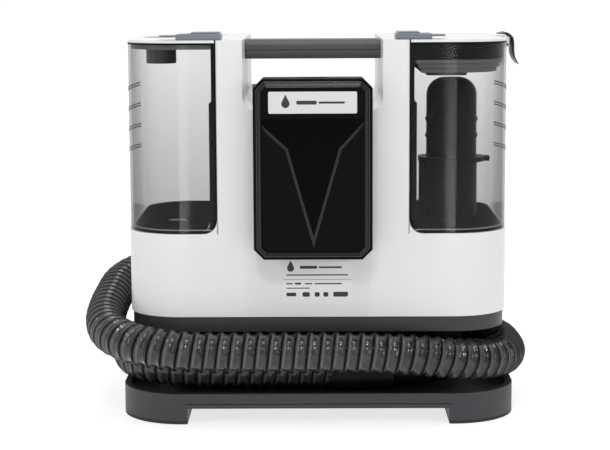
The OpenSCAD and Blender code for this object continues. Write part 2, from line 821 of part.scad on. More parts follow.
// ---- Battery pack ----
module octagon(w, h, c) {
    polygon([[c - w / 2, 0], [w / 2 - c, 0], [w / 2, c], [w / 2, h - c], [w / 2 - c, h],
        [c - w / 2, h], [-w / 2, h - c], [-w / 2, c]]);
}
module pack_body(y0, y1, inset) {
    translate([spine_x, 0, pack_z + inset]) upright(y0, y1)
        octagon(pack_w - 2 * inset, pack_h - 2 * inset, pack_c - inset / 2);
}
module battery_cover() {
    t = pack_wall;
    color(black) difference() {
        union() {
            pack_body(pack_y + 4, plate_y, 0);
            pack_body(pack_y + 1.6, pack_y + 4, 2);
            pack_body(pack_y, pack_y + 1.6, 3.4);
        }
        pack_body(pack_y + relief + 1.4, plate_y + eps, t + 1.6);
        // recess for the label
        box(spine_x - 35, spine_x + 35, pack_y - eps, pack_y + 0.6,
            pack_z + pack_h - 27.6, pack_z + pack_h - 10);
        // sunk field on each side of the V
        translate([spine_x, 0, pack_z]) upright(pack_y - eps, pack_y + relief) for (s = [-1, 1])
            polygon([[s * 44, pack_h - 38], [s * 22, pack_h - 56], [s * 1.2, 10],
                [s * 42, 6]]);
        // hole for the release button
        box(spine_x - 12 - gap, spine_x + 12 + gap, pack_y + 12 - gap, pack_y + 22 + gap,
            pack_z + pack_h - 8, pack_z + pack_h + eps);
    }
}
module battery_case() {
    x = spine_x;
    z1 = back_z + back_h;
    color("#222222") difference() {
        union() {
            pack_body(plate_y, -half_d - 1, 0);
            box(x - neck_w / 2, x + neck_w / 2, -half_d - 2, -half_d + lip_t + gap + 1, back_z, z1);
            box(x - back_w / 2, x + back_w / 2, -half_d + lip_t + gap, back_y, back_z, z1);
        }
        // room for the cells
        box(x - 33.2, x + 33.2, plate_y - eps, back_y - 2.2, back_z + 11, z1 - 2);
        // slots for the dock's terminals
        for (s = [-1, 0, 1])
            box(x + s * 14 - 1.2, x + s * 14 + 1.2, back_y - 8, back_y + eps,
                back_z - eps, back_z + 10);
    }
}
module battery_cells() {
    z0 = back_z + 11.4 + cell_d / 2;
    y0 = back_y - 2.6 - cell_d / 2;
    color("#3E78B2") for (i = [0 : 4], j = [0, 1])
        along_x(spine_x - cell_l / 2, y0 - j * (cell_d + 0.2), z0 + i * cell_d)
            cylinder(r = cell_d / 2 - 0.1, h = cell_l);
}
module battery_label() {
    color("#E9EAEA") box(spine_x - 34.8, spine_x + 34.8, pack_y + 0.1, pack_y + 0.6,
        pack_z + pack_h - 27.4, pack_z + pack_h - 10.2);
}
module battery_release() {
    z = pack_z + pack_h;
    color(dark_grey) {
        box(spine_x - 12, spine_x + 12, pack_y + 12, pack_y + 22, z - 8, z);
        box(spine_x - 14, spine_x + 14, pack_y + 11, pack_y + 23, z - 9.5, z - 8);
    }
}

// ---- Hand tool ----
module head_outline(inset) {
    w = tool_w / 2 - inset;
    h = head_w / 2 - inset;
    polygon([[-w, z_neck + inset], [w, z_neck + inset], [h, z_head], [h, z_mouth],
        [-h, z_mouth], [-w - (h - w), z_head]]);
}
module tool_body() {
    color(plinth_grey) difference() {
        union() {
            translate([tool_x, tool_y, z_tool])
                slab(tool_w, tool_d, 12, z_neck - z_tool + 2);
            translate([tool_x, 0, 0]) upright(tool_y - head_t / 2, tool_y + head_t / 2)
                head_outline(0);
            // ears for the trigger's pin
            for (s = [-1, 1]) box(tool_x + s * (trig_w / 2 + 2) - 1.5,
                tool_x + s * (trig_w / 2 + 2) + 1.5, tool_y + tool_d / 2 - 4, trig_y + 4,
                z_trig - 5, z_trig + 5);
        }
        translate([tool_x, tool_y, z_tool - eps]) cylinder(r = tool_bore, h = z_neck - z_tool + 4);
        difference() {
            translate([tool_x, 0, 0])
                upright(tool_y - head_t / 2 + 2.5, tool_y + head_t / 2 - 2.5)
                    translate([0, eps]) head_outline(2.5);
            box(-body_w, body_w, 0, body_d, 0, z_neck);
        }
        // opening under the clear window
        translate([tool_x, 0, 0]) upright(tool_y + head_t / 2 - 3, tool_y + head_t / 2 + eps)
            window_outline(0);
    }
}
module window_outline(inset) {
    w = head_w / 2 - 8 - inset;
    polygon([[-9 + inset, z_neck + 12 + inset], [9 - inset, z_neck + 12 + inset],
        [w, z_head - inset / 2], [w, z_mouth - 5 - inset], [-w, z_mouth - 5 - inset],
        [-w, z_head - inset / 2]]);
}
module tool_window() {
    color("#B9C4CC") translate([tool_x, 0, 0])
        upright(tool_y + head_t / 2 - 2.4, tool_y + head_t / 2 + 0.6) window_outline(0.15);
}
module spray_tip() {
    y = tool_y + head_t / 2 + 0.6;
    color(dark_grey) {
        translate([tool_x, y + 5.5, z_head - 4]) cylinder(r = 5, h = 17);
        box(tool_x - 4, tool_x + 4, y, y + 3, z_head - 4, z_head + 10);
    }
}
module tool_cuff() {
    color(black) difference() {
        union() {
            translate([tool_x, tool_y, z_tool - cuff_drop]) {
                cylinder(r = cuff_r, h = cuff_drop);
                sphere(cuff_r);
                rotate([0, -135, 0]) cylinder(r = cuff_r, h = cuff_l);
            }
        }
        translate([tool_x, tool_y, z_tool - cuff_drop]) {
            cylinder(r = tool_bore, h = cuff_drop + eps);
            rotate([0, -135, 0]) cylinder(r = tool_bore, h = cuff_l + eps);
        }
    }
}
module trigger_pin() {
    l = trig_w + 7;
    color("silver") along_x(tool_x - l / 2, trig_y, z_trig) cylinder(r = pin_r, h = l);
}
module trigger() {
    color("#C4392F") difference() {
        union() {
            along_x(tool_x - trig_w / 2, trig_y, z_trig) cylinder(r = 3.6, h = trig_w);
            translate([tool_x - trig_w / 2, 0, 0]) rotate([90, 0, 90])
                linear_extrude(trig_w)
                    polygon([[trig_y - 2.6, z_trig - 1], [trig_y + 2.6, z_trig - 1],
                        [trig_y + 4, z_trig - 18], [trig_y + 7.5, z_trig - 36],
                        [trig_y + 10, z_trig - 42], [trig_y + 6, z_trig - 43],
                        [trig_y + 2, z_trig - 36], [trig_y - 1, z_trig - 18]]);
        }
        along_x(tool_x - trig_w, trig_y, z_trig) cylinder(r = pin_r + run, h = 2 * trig_w);
    }
}
module tool_cradle() {
    color(dark_grey) {
        box(tool_x - 22, tool_x + 22, half_d, half_d + 3, 160, 246);
        box(tool_x - 14, tool_x + 14, half_d + 3, tool_y - tool_d / 2 - 0.1, 172, 198);
        for (s = [-1, 1]) box(tool_x + s * (tool_w / 2 + 2.1) - 1.5,
            tool_x + s * (tool_w / 2 + 2.1) + 1.5, half_d + 3, tool_y + 8, 168, 202);
    }
}

plinth();
foot_soles();
underside_cover();
case_screws();
hose_drum();
base_ring();
rear_housing();
front_housing();
clean_seat();
dirty_seat();
handle_bar();
handle_underside();
rating_plate();
battery_dock();
dock_terminals();
exhaust_grille();
control_panel();
charge_lights();
circuit_board();
tool_cradle();
inlet_elbow();
motor_bracket();
fan_housing();
motor_can();
air_duct();
pump();
tool_body();
tool_window();
spray_tip();
tool_cuff();
trigger_pin();
hose();
hose_collars();
clean_tank_shell();
clean_lid();
clean_lid_insert();
clean_latch();
fill_cap();
outlet_valve();
dirty_tank_shell();
riser_column();
separator();
dirty_lid();
dirty_lid_insert();
filter_seal();
float_cage();
clip_pin();
dirty_latch();
side_clip();
float_valve();
battery_cover();
battery_case();
battery_cells();
battery_label();
battery_release();
power_button();
spray_button();
trigger();
impeller();
motor_shaft();
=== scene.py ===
"""Cordless spot extractor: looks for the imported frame. Lengths in the code are
millimetres unless a name says otherwise, and every mesh is scaled to metres."""
import json
import math

import bmesh
import bpy
import numpy as np
from mathutils import Matrix, Vector


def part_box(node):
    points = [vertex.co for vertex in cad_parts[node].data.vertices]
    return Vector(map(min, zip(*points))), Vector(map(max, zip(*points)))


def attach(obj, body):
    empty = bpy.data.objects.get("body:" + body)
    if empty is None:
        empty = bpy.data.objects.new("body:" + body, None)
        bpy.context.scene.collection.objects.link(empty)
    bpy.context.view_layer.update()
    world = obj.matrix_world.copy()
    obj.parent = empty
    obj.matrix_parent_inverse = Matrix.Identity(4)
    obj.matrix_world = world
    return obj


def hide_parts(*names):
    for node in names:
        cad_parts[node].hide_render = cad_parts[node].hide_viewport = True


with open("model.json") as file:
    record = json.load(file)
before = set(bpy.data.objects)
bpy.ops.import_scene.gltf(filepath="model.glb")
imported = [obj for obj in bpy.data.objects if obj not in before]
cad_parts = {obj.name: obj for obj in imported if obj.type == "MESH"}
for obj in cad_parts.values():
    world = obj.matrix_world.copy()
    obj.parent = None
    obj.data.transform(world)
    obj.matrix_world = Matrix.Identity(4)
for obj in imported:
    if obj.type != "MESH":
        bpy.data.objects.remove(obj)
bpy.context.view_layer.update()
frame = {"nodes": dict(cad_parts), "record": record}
nodes = frame["nodes"]
body_of = {n: b for b, ns in frame["record"]["behaviour"]["bodies"].items() for n in ns}
slot_of = {s["node"]: s["material_slot"] for s in frame["record"]["subparts"]}
MM = 0.001
MIX_A, MIX_B, MIX_RESULT = 6, 7, 2      # colour sockets of a Mix node


def srgb(hex_text):
    """Linear colour of an sRGB hex value."""
    c = np.array([int(hex_text[i:i + 2], 16) for i in (1, 3, 5)]) / 255
    lin = np.where(c <= 0.04045, c / 12.92, ((c + 0.055) / 1.055) ** 2.4)
    return (*[float(v) for v in lin], 1.0)


# ---------------------------------------------------------------- camera
def aim_camera():
    """A long lens in front of the battery side, a little above the tanks' tops."""
    cam = bpy.data.cameras.new("camera")
    cam.sensor_width = 36
    cam.lens = 101.8
    cam.clip_end = 20
    eye = bpy.data.objects.new("camera", cam)
    bpy.context.scene.collection.objects.link(eye)
    pitch, yaw, roll = (math.radians(a) for a in (7.898, -0.421, -0.279))
    ahead = Vector((math.sin(yaw) * math.cos(pitch), math.cos(yaw) * math.cos(pitch),
                    -math.sin(pitch)))
    level = Vector((math.cos(yaw), -math.sin(yaw), 0))
    up = level.cross(ahead)
    right = level * math.cos(roll) + up * math.sin(roll)
    up = up * math.cos(roll) - level * math.sin(roll)
    turn = Matrix((right, up, -ahead)).transposed().to_4x4()
    eye.matrix_world = Matrix.Translation((-0.0001, -1.480, 0.35484)) @ turn
    bpy.context.scene.camera = eye


aim_camera()


# ---------------------------------------------------------------- materials
def add(tree, kind, at=None, **links):
    """Adds a node. Settings in at go on its sockets by name or on itself; each
    of links joins a socket to another node's output, given as (node, output)."""
    node = tree.nodes.new(kind)
    for key, value in (at or {}).items():
        if key in node.inputs:
            node.inputs[key].default_value = value
        else:
            setattr(node, key, value)
    for key, (source, output) in links.items():
        tree.links.new(source.outputs[output], node.inputs[key.replace("_", " ")])
    return node


def feed(tree, socket, value):
    """Joins a socket to a (node, output) pair, or sets it to a plain value."""
    if isinstance(value, tuple) and isinstance(value[0], bpy.types.Node):
        tree.links.new(value[0].outputs[value[1]], socket)
    else:
        socket.default_value = value


def reckon(tree, operation, first, second):
    """A Math node on two inputs."""
    node = add(tree, "ShaderNodeMath", {"operation": operation})
    feed(tree, node.inputs[0], first)
    feed(tree, node.inputs[1], second)
    return node


def blend(tree, factor, first, second):
    """A Mix node between two colours; its colour sockets go by index."""
    node = add(tree, "ShaderNodeMix", {"data_type": "RGBA"}, Factor=factor)
    feed(tree, node.inputs[MIX_A], first)
    feed(tree, node.inputs[MIX_B], second)
    return node


def surface(name):
    """A new material with an empty tree, its output and its Object coordinates."""
    m = bpy.data.materials.new(name)
    m.use_nodes = True
    m.node_tree.nodes.clear()
    t = m.node_tree
    out = add(t, "ShaderNodeOutputMaterial")
    where = add(t, "ShaderNodeTexCoord")
    return m, t, out, where


def moulded(name, hex_text, rough, grain, relief, mottle=0.06, ior=1.5):
    """A moulded plastic or rubber: grain is the texture's size in mm, relief its
    bump height in mm. Slow mottling of mottle changes gloss by hand-sized areas."""
    m, t, out, where = surface(name)
    fine = add(t, "ShaderNodeTexNoise", {"Scale": 1000 / grain, "Detail": 3.0},
               Vector=(where, "Object"))
    slow = add(t, "ShaderNodeTexNoise", {"Scale": 18.0, "Detail": 4.0, "Roughness": 0.6},
               Vector=(where, "Object"))
    gloss = add(t, "ShaderNodeMapRange", {"From Min": 0.3, "From Max": 0.7,
                "To Min": max(rough - mottle, 0.02), "To Max": rough + mottle},
                Value=(slow, "Fac"))
    tint = srgb(hex_text)
    colour = blend(t, (slow, "Fac"), tuple(c * (1 - mottle) for c in tint[:3]) + (1,),
                   tuple(min(c * (1 + mottle), 1) for c in tint[:3]) + (1,))
    bump = add(t, "ShaderNodeBump", {"Strength": 1.0, "Distance": relief * MM},
               Height=(fine, "Fac"))
    skin = add(t, "ShaderNodeBsdfPrincipled", {"IOR": ior}, Roughness=(gloss, "Result"),
               Normal=(bump, "Normal"), Base_Color=(colour, MIX_RESULT))
    t.links.new(skin.outputs[0], out.inputs["Surface"])
    return m


def metal(name, hex_text, rough, grain):
    """Plated or turned metal with fine scratches grain mm apart."""
    m, t, out, where = surface(name)
    lay = add(t, "ShaderNodeMapping", {"Scale": (1, 1, 12)}, Vector=(where, "Object"))
    lines = add(t, "ShaderNodeTexNoise", {"Scale": 1000 / grain, "Detail": 2.0},
                Vector=(lay, "Vector"))
    gloss = add(t, "ShaderNodeMapRange", {"To Min": rough - 0.08, "To Max": rough + 0.1},
                Value=(lines, "Fac"))
    skin = add(t, "ShaderNodeBsdfPrincipled", {"Metallic": 1.0,
               "Base Color": srgb(hex_text)}, Roughness=(gloss, "Result"))
    t.links.new(skin.outputs[0], out.inputs["Surface"])
    return m


def smoked(name, hex_text, face_on, edge_on, power, deeper=0.0, rough=0.04):
    """Tinted clear plastic: a wall hides face_on of what is behind it when seen
    square on, and edge_on of it when seen along the wall, because the light then
    crosses more of the tint. It hides deeper more towards the foot of the tank,
    and less towards the back."""
    m, t, out, where = surface(name)
    facing = add(t, "ShaderNodeLayerWeight", {"Blend": 0.5})
    steep = reckon(t, "POWER", (facing, "Facing"), power)
    spot = add(t, "ShaderNodeSeparateXYZ", Vector=(where, "Object"))
    taper = add(t, "ShaderNodeMapRange", {"From Min": -0.06, "From Max": 0.06,
                "To Min": 1.0, "To Max": 0.34}, Value=(spot, "Y"))
    thick = reckon(t, "MULTIPLY", (steep, "Value"), (taper, "Result"))
    hide = add(t, "ShaderNodeMapRange", {"To Min": face_on, "To Max": edge_on},
               Value=(thick, "Value"))
    low = add(t, "ShaderNodeMapRange", {"From Min": 0.15, "From Max": 0.29,
              "To Min": deeper, "To Max": 0.0}, Value=(spot, "Z"))
    both = reckon(t, "ADD", (hide, "Result"), (low, "Result"))
    slow = add(t, "ShaderNodeTexNoise", {"Scale": 25.0, "Detail": 2.0},
               Vector=(where, "Object"))
    gloss = add(t, "ShaderNodeMapRange", {"To Min": rough, "To Max": rough + 0.05},
                Value=(slow, "Fac"))
    skin = add(t, "ShaderNodeBsdfPrincipled", {"Base Color": srgb(hex_text), "IOR": 1.58},
               Roughness=(gloss, "Result"), Alpha=(both, "Value"))
    t.links.new(skin.outputs[0], out.inputs["Surface"])
    return m


def ribbed_hose(name):
    """Corrugated EVA hose: dark translucent skin, so the thin walls between the
    ribs pass more light and look greyer than the thick ribs. A narrow bright band
    on one side of each rib is a painted highlight. It is polished, so each wall
    carries small bright glints."""
    m, t, out, where = surface(name)
    rib = add(t, "ShaderNodeAttribute", {"attribute_name": "rib"})
    dust = add(t, "ShaderNodeTexNoise", {"Scale": 140.0, "Detail": 3.0},
               Vector=(where, "Object"))
    # painted highlight: a narrow bright band on one side of each rib, read from the mesh
    painted_rib_highlight = add(t, "ShaderNodeAttribute", {"attribute_name": "painted_rib_highlight"})
    skin_tone = add(t, "ShaderNodeMapRange", {"From Min": 0.3, "From Max": 0.7,
                    "To Min": 0.0, "To Max": 0.3}, Value=(dust, "Fac"))
    lit = reckon(t, "MAXIMUM", (skin_tone, "Result"), (painted_rib_highlight, "Fac"))
    wall = blend(t, (lit, "Value"), srgb("#242425"), srgb("#5A5A5C"))
    thick = reckon(t, "POWER", (rib, "Fac"), 3.8)
    colour = blend(t, (thick, "Value"), (wall, MIX_RESULT), srgb("#040405"))
    gloss = add(t, "ShaderNodeMapRange", {"To Min": 0.07, "To Max": 0.16},
                Value=(dust, "Fac"))
    shade = add(t, "ShaderNodeMapRange", {"To Min": 0.5, "To Max": 0.0},
                Value=(thick, "Value"))
    skin = add(t, "ShaderNodeBsdfPrincipled", {"IOR": 1.45}, Roughness=(gloss, "Result"),
               Specular_IOR_Level=(shade, "Result"), Base_Color=(colour, MIX_RESULT))
    t.links.new(skin.outputs[0], out.inputs["Surface"])
    return m


FINISH = {
    # white ABS off a polished tool: soft broad highlights, faint orange peel 6 mm across
    "white_plastic": moulded("white_abs_moulded", "#D8D8D9", 0.34, 6.0, 0.012, 0.02),
    # spark-eroded ABS: even 0.5 mm grain that scatters light to a soft sheen
    "plinth_plastic": moulded("slate_abs_textured", "#303135", 0.52, 0.9, 0.05, 0.05),
    "ring_plastic": moulded("charcoal_abs_satin", "#2C2C2D", 0.42, 0.9, 0.02, 0.05),
    "handle_plastic": moulded("grey_abs_textured", "#4A4A49", 0.5, 0.9, 0.05, 0.06),
    "black_plastic": moulded("black_abs_satin", "#0A0A0B", 0.4, 0.9, 0.02, 0.05, 1.2),
    "dark_plastic": moulded("graphite_abs_satin", "#2C2D2F", 0.38, 0.9, 0.02, 0.05),
    # black and grey rubbers: matt, with no clear highlight
    # painted shade: the soles are coloured darker than the plinth, to stand for the dark
    # line along their top edge
    "sole_rubber": moulded("sole_rubber_moulded", "#232427", 0.65, 0.8, 0.05, 0.05),
    "seat_rubber": moulded("seat_rubber_moulded", "#0B0B0C", 0.7, 1.0, 0.03, 0.06, 1.01),
    "cap_rubber": moulded("cap_rubber_moulded", "#3F4042", 0.45, 1.0, 0.03, 0.06),
    "filter_seal": moulded("seal_rubber_moulded", "#5B5B5C", 0.5, 1.0, 0.03, 0.06),
    # tool, cuff and latches: fine texture that breaks a lamp into a broad soft patch
    "tool_plastic": moulded("tool_abs_textured", "#4E5055", 0.46, 0.9, 0.04, 0.05),
    "cuff_plastic": moulded("cuff_pp_satin", "#131211", 0.42, 0.9, 0.02, 0.05, 1.3),
    "latch_plastic": moulded("latch_abs_satin", "#6B7079", 0.4, 0.9, 0.03, 0.12),
    # battery cover: fine matt texture, polished V panel
    "battery_plastic": moulded("battery_abs_satin", "#060607", 0.34, 0.9, 0.02, 0.04, 1.16),
    "battery_polish": moulded("battery_abs_polished", "#040405", 0.12, 8.0, 0.006, 0.03,
                              1.12),
    # greys inside the tanks: a satin lid insert, and a light grey floor rim that is a
    # painted highlight
    "insert_plastic": moulded("insert_abs_satin", "#5C5D5E", 0.42, 0.9, 0.02, 0.08),
    "tank_floor_rim_highlight": moulded("tank_floor_rim_painted_highlight", "#B9BCBD", 0.35, 1.0, 0.01, 0.03),
    # the same plastic made lighter as painted light: a painted sheen on the sloped band and
    #     # the V's flanks, and painted highlight lines on fine arrises
    "battery_painted_sheen": moulded("battery_abs_painted_sheen", "#131315", 0.3, 0.9, 0.01, 0.04, 1.38),
    "battery_painted_highlight": moulded("battery_abs_painted_highlight", "#4A4A4C", 0.3, 0.9, 0.01, 0.04),
    # raised marks, label films and ink: flat and even, so that edges read sharp
    "mark_plastic": moulded("mark_raised_polycarbonate", "#323334", 0.4, 1.0, 0.01, 0.03),
    "label_film": moulded("label_vinyl_film", "#C8C9C9", 0.36, 3.0, 0.006, 0.02),
    "plate_film": moulded("plate_vinyl_film", "#DADBDB", 0.36, 3.0, 0.006, 0.02),
    "label_ink": moulded("label_ink_print", "#232324", 0.5, 3.0, 0.004, 0.02),
    # buttons and trigger: smooth satin, one soft highlight each
    "button_plastic": moulded("button_abs_satin", "#7A7D80", 0.35, 0.9, 0.02, 0.04),
    "trigger_plastic": moulded("trigger_abs_satin", "#5B5D60", 0.35, 0.9, 0.02, 0.04),
    # inner parts: green mask, blue sleeve, orange float and a green light's lens
    "board": moulded("board_solder_mask", "#1F5A38", 0.35, 1.5, 0.03, 0.08),
    "cell_wrap": moulded("cell_pvc_sleeve", "#3E78B2", 0.3, 4.0, 0.01, 0.03),
    "float_foam": moulded("float_pp_moulded", "#D97A20", 0.5, 1.0, 0.03, 0.05),
    "light_lens": moulded("lens_pmma_moulded", "#9BE0B0", 0.12, 5.0, 0.004, 0.02),
    # metals: bright, with fine scratches that stretch the highlight
    "screw_steel": metal("steel_zinc_plated", "#B9BABC", 0.3, 0.6),
    "motor_steel": metal("steel_drawn_can", "#AEB0B2", 0.32, 0.8),
    "terminal_brass": metal("brass_stamped", "#C9A45A", 0.25, 0.6),
    # smoke-tinted polycarbonate, 2 mm walls: light grey face on, near black edge on
    "smoked_tank": smoked("smoked_polycarbonate", "#1A1B1C", 0.09, 0.72, 2.3, 0.13),
    "clear_plastic": smoked("clear_polycarbonate", "#C4CDD2", 0.12, 0.7, 3.0),
    "hose_plastic": ribbed_hose("hose_eva_corrugated"),
}


# ---------------------------------------------------------------- shapes
def arcs(points, radii, n=7):
    """Closed outline with rounded corners: each corner becomes n points on the
    circle of its radius that touches both its sides."""
    p = np.array(points, float)
    r = np.maximum(np.broadcast_to(np.array(radii, float), len(p)), 1e-4)[:, None]
    a = np.roll(p, 1, 0) - p
    b = np.roll(p, -1, 0) - p
    a /= np.linalg.norm(a, axis=1)[:, None]
    b /= np.linalg.norm(b, axis=1)[:, None]
    half = np.arccos(np.clip((a * b).sum(1), -1, 1))[:, None] / 2
    reach = r / np.tan(half)
    centre = p + (a + b) / np.linalg.norm(a + b, axis=1)[:, None] * r / np.sin(half)
    s, e = p + a * reach - centre, p + b * reach - centre
    sweep = (np.pi - 2 * half)[:, None]
    u = np.linspace(0, 1, n)[None, :, None]
    arc = (np.sin((1 - u) * sweep) * s[:, None] + np.sin(u * sweep) * e[:, None])
    return (centre[:, None] + arc / np.sin(sweep)).reshape(-1, 2)


def inset(loop, d):
    """Loop moved inwards by d, which may differ per edge: each corner goes to
    where its two moved sides meet. Loops run anticlockwise."""
    d = np.broadcast_to(np.array(d, float), len(loop))
    side = np.roll(loop, -1, 0) - loop
    side /= np.linalg.norm(side, axis=1)[:, None]
    inward = np.stack([-side[:, 1], side[:, 0]], 1)
    both = np.stack([np.roll(inward, 1, 0), inward], 1)
    move = np.linalg.solve(both, np.stack([np.roll(d, 1), d], 1)[..., None])[..., 0]
    return loop + move


def piece(name, verts, faces, finish, body, stands_for=(), slot=None, sharp=32.0):
    """Makes the mesh from millimetres, merges its seams, turns its faces outwards,
    shades it smooth up to the sharp angle and puts it on its body."""
    mesh = bpy.data.meshes.new(name)
    mesh.from_pydata((np.asarray(verts, float) * MM).tolist(), [], faces)
    bm = bmesh.new()
    bm.from_mesh(mesh)
    bmesh.ops.remove_doubles(bm, verts=bm.verts, dist=2e-6)
    bmesh.ops.dissolve_degenerate(bm, edges=bm.edges, dist=1e-7)
    bmesh.ops.recalc_face_normals(bm, faces=bm.faces)
    bm.to_mesh(mesh)
    bm.free()
    mesh.shade_smooth()
    mesh.set_sharp_from_angle(angle=math.radians(sharp))
    ob = bpy.data.objects.new(name, mesh)
    bpy.context.scene.collection.objects.link(ob)
    mesh.materials.append(FINISH[finish])
    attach(ob, body)
    if stands_for:
        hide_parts(*stands_for)
    return ob


def skin_faces(m, n, ends=True):
    """Quads between m rings of n points each, and an n-gon on each end."""
    i, k = np.meshgrid(np.arange(m - 1), np.arange(n), indexing="ij")
    a, b = i * n + k, i * n + (k + 1) % n
    faces = np.stack([a, b, b + n, a + n], -1).reshape(-1, 4).tolist()
    if ends:
        faces += [list(range(n - 1, -1, -1)), list(range((m - 1) * n, m * n))]
    return faces


def turned(loops, heights, axis):
    """Points of outlines in the plane across the axis, each at its height."""
    flat = np.stack(loops)
    h = np.broadcast_to(np.array(heights, float)[:, None, None], flat.shape[:2] + (1,))
    u, v = flat[..., :1], flat[..., 1:]
    order = {"z": (u, v, h), "y": (u, h, v), "x": (h, u, v)}[axis]
    return np.concatenate(order, -1).reshape(-1, 3)


def bar(name, loop, h0, h1, axis, finish, body, edge=0.8, **more):
    """Outline carried straight from h0 to h1 with quarter-round rims: at angle t
    the loop is inset by edge (1 - sin t) at edge (1 - cos t) from the end."""
    t = np.linspace(0, np.pi / 2, 4)
    rim, rise = edge * (1 - np.sin(t)), edge * (1 - np.cos(t))
    ins = np.concatenate([rim, rim[::-1]])
    hs = np.concatenate([h0 + rise, (h1 - rise)[::-1]])
    loops = [inset(loop, d) for d in ins]
    return piece(name, turned(loops, hs, axis), skin_faces(len(hs), len(loop)),
                 finish, body, **more)


def box_loop(x0, x1, y0, y1, r=0.0, n=7):
    """Rectangle as an anticlockwise outline, with corners of radius r."""
    corners = [(x0, y0), (x1, y0), (x1, y1), (x0, y1)]
    return arcs(corners, r, n) if r else np.array(corners, float)


def eased(node, edge, finish=None, hold=40.0):
    """The node's own solid with its sharp edges rounded to the radius edge: its
    triangles merged, flat neighbours joined, then a Bevel modifier on the edges
    that turn by more than hold degrees."""
    source = nodes[node].data
    co = np.empty(len(source.vertices) * 3, np.float32)
    source.vertices.foreach_get("co", co)
    tri = np.empty(len(source.loops), np.int32)
    source.loops.foreach_get("vertex_index", tri)
    mesh = bpy.data.meshes.new(node + "_eased")
    mesh.from_pydata(co.reshape(-1, 3).tolist(), [], tri.reshape(-1, 3).tolist())
    bm = bmesh.new()
    bm.from_mesh(mesh)
    bmesh.ops.remove_doubles(bm, verts=bm.verts, dist=1e-6)
    bmesh.ops.dissolve_limit(bm, angle_limit=math.radians(0.8), verts=bm.verts,
                             edges=bm.edges)
    bm.to_mesh(mesh)
    bm.free()
    mesh.shade_smooth()
    mesh.set_sharp_from_angle(angle=math.radians(28))
    ob = bpy.data.objects.new(mesh.name, mesh)
    bpy.context.scene.collection.objects.link(ob)
    if edge:
        round_off = ob.modifiers.new("edges", "BEVEL")
        round_off.width = edge * MM
        round_off.segments = 2
        round_off.limit_method = "ANGLE"
        round_off.angle_limit = math.radians(hold)
        round_off.harden_normals = True
        round_off.use_clamp_overlap = True
    mesh.materials.append(FINISH[finish or slot_of[node]])
    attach(ob, body_of[node])
    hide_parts(node)


# ---------------------------------------------------------------- hose
ROUTE = np.array([
    [11, -82.5, 43], [-25, -82.5, 43], [-62, -83.5, 43], [-96, -82, 43],
    [-126, -74, 43], [-147, -57, 43], [-158, -31, 43], [-161, 0, 43],
    [-158, 31, 43], [-147, 57, 43], [-126, 75, 43], [-95, 83, 43],
    [-50, 84, 43], [0, 84, 43], [50, 84, 43], [95, 83, 43], [126, 75, 43],
    [148, 57, 43], [159, 31, 43], [161, 0, 44], [160, -32, 45],
    [152, -62, 47], [135, -87, 49.5], [110, -104, 54], [82, -113, 58.5],
    [50, -117, 61], [10, -118, 62], [-40, -118, 62], [-85, -118, 62.5],
    [-120, -117, 64.5], [-149, -106, 67.5], [-170, -82, 71], [-179, -50, 75],
    [-181, -15, 80], [-180, 22, 85], [-177, 58, 90], [-165, 90, 94],
    [-143, 112, 96], [-116, 122, 94], [-90, 125, 91], [-68, 125, 91.5],
    [-51, 124.5, 97], [-38, 124, 108]], float)


def smooth_route(points, first, last, step):
    """Hermite curve through the points, whose tangents are half the span between
    neighbours, resampled to even steps of arc length."""
    tan = np.gradient(points, axis=0)
    tan[0] = first * np.linalg.norm(points[1] - points[0])
    tan[-1] = last * np.linalg.norm(points[-1] - points[-2])
    u = np.linspace(0, 1, 40, endpoint=False)[None, :, None]
    a, b, s, e = (v[:, None] for v in (points[:-1], points[1:], tan[:-1], tan[1:]))
    line = ((2 * u**3 - 3 * u**2 + 1) * a + (u**3 - 2 * u**2 + u) * s
            + (3 * u**2 - 2 * u**3) * b + (u**3 - u**2) * e).reshape(-1, 3)
    line = np.vstack([line, points[-1:]])
    run = np.concatenate([[0], np.cumsum(np.linalg.norm(np.diff(line, axis=0), axis=1))])
    n = int(round(run[-1] / step)) + 1
    at = np.linspace(0, run[-1], n)
    return np.stack([np.interp(at, run, line[:, k]) for k in range(3)], 1), at


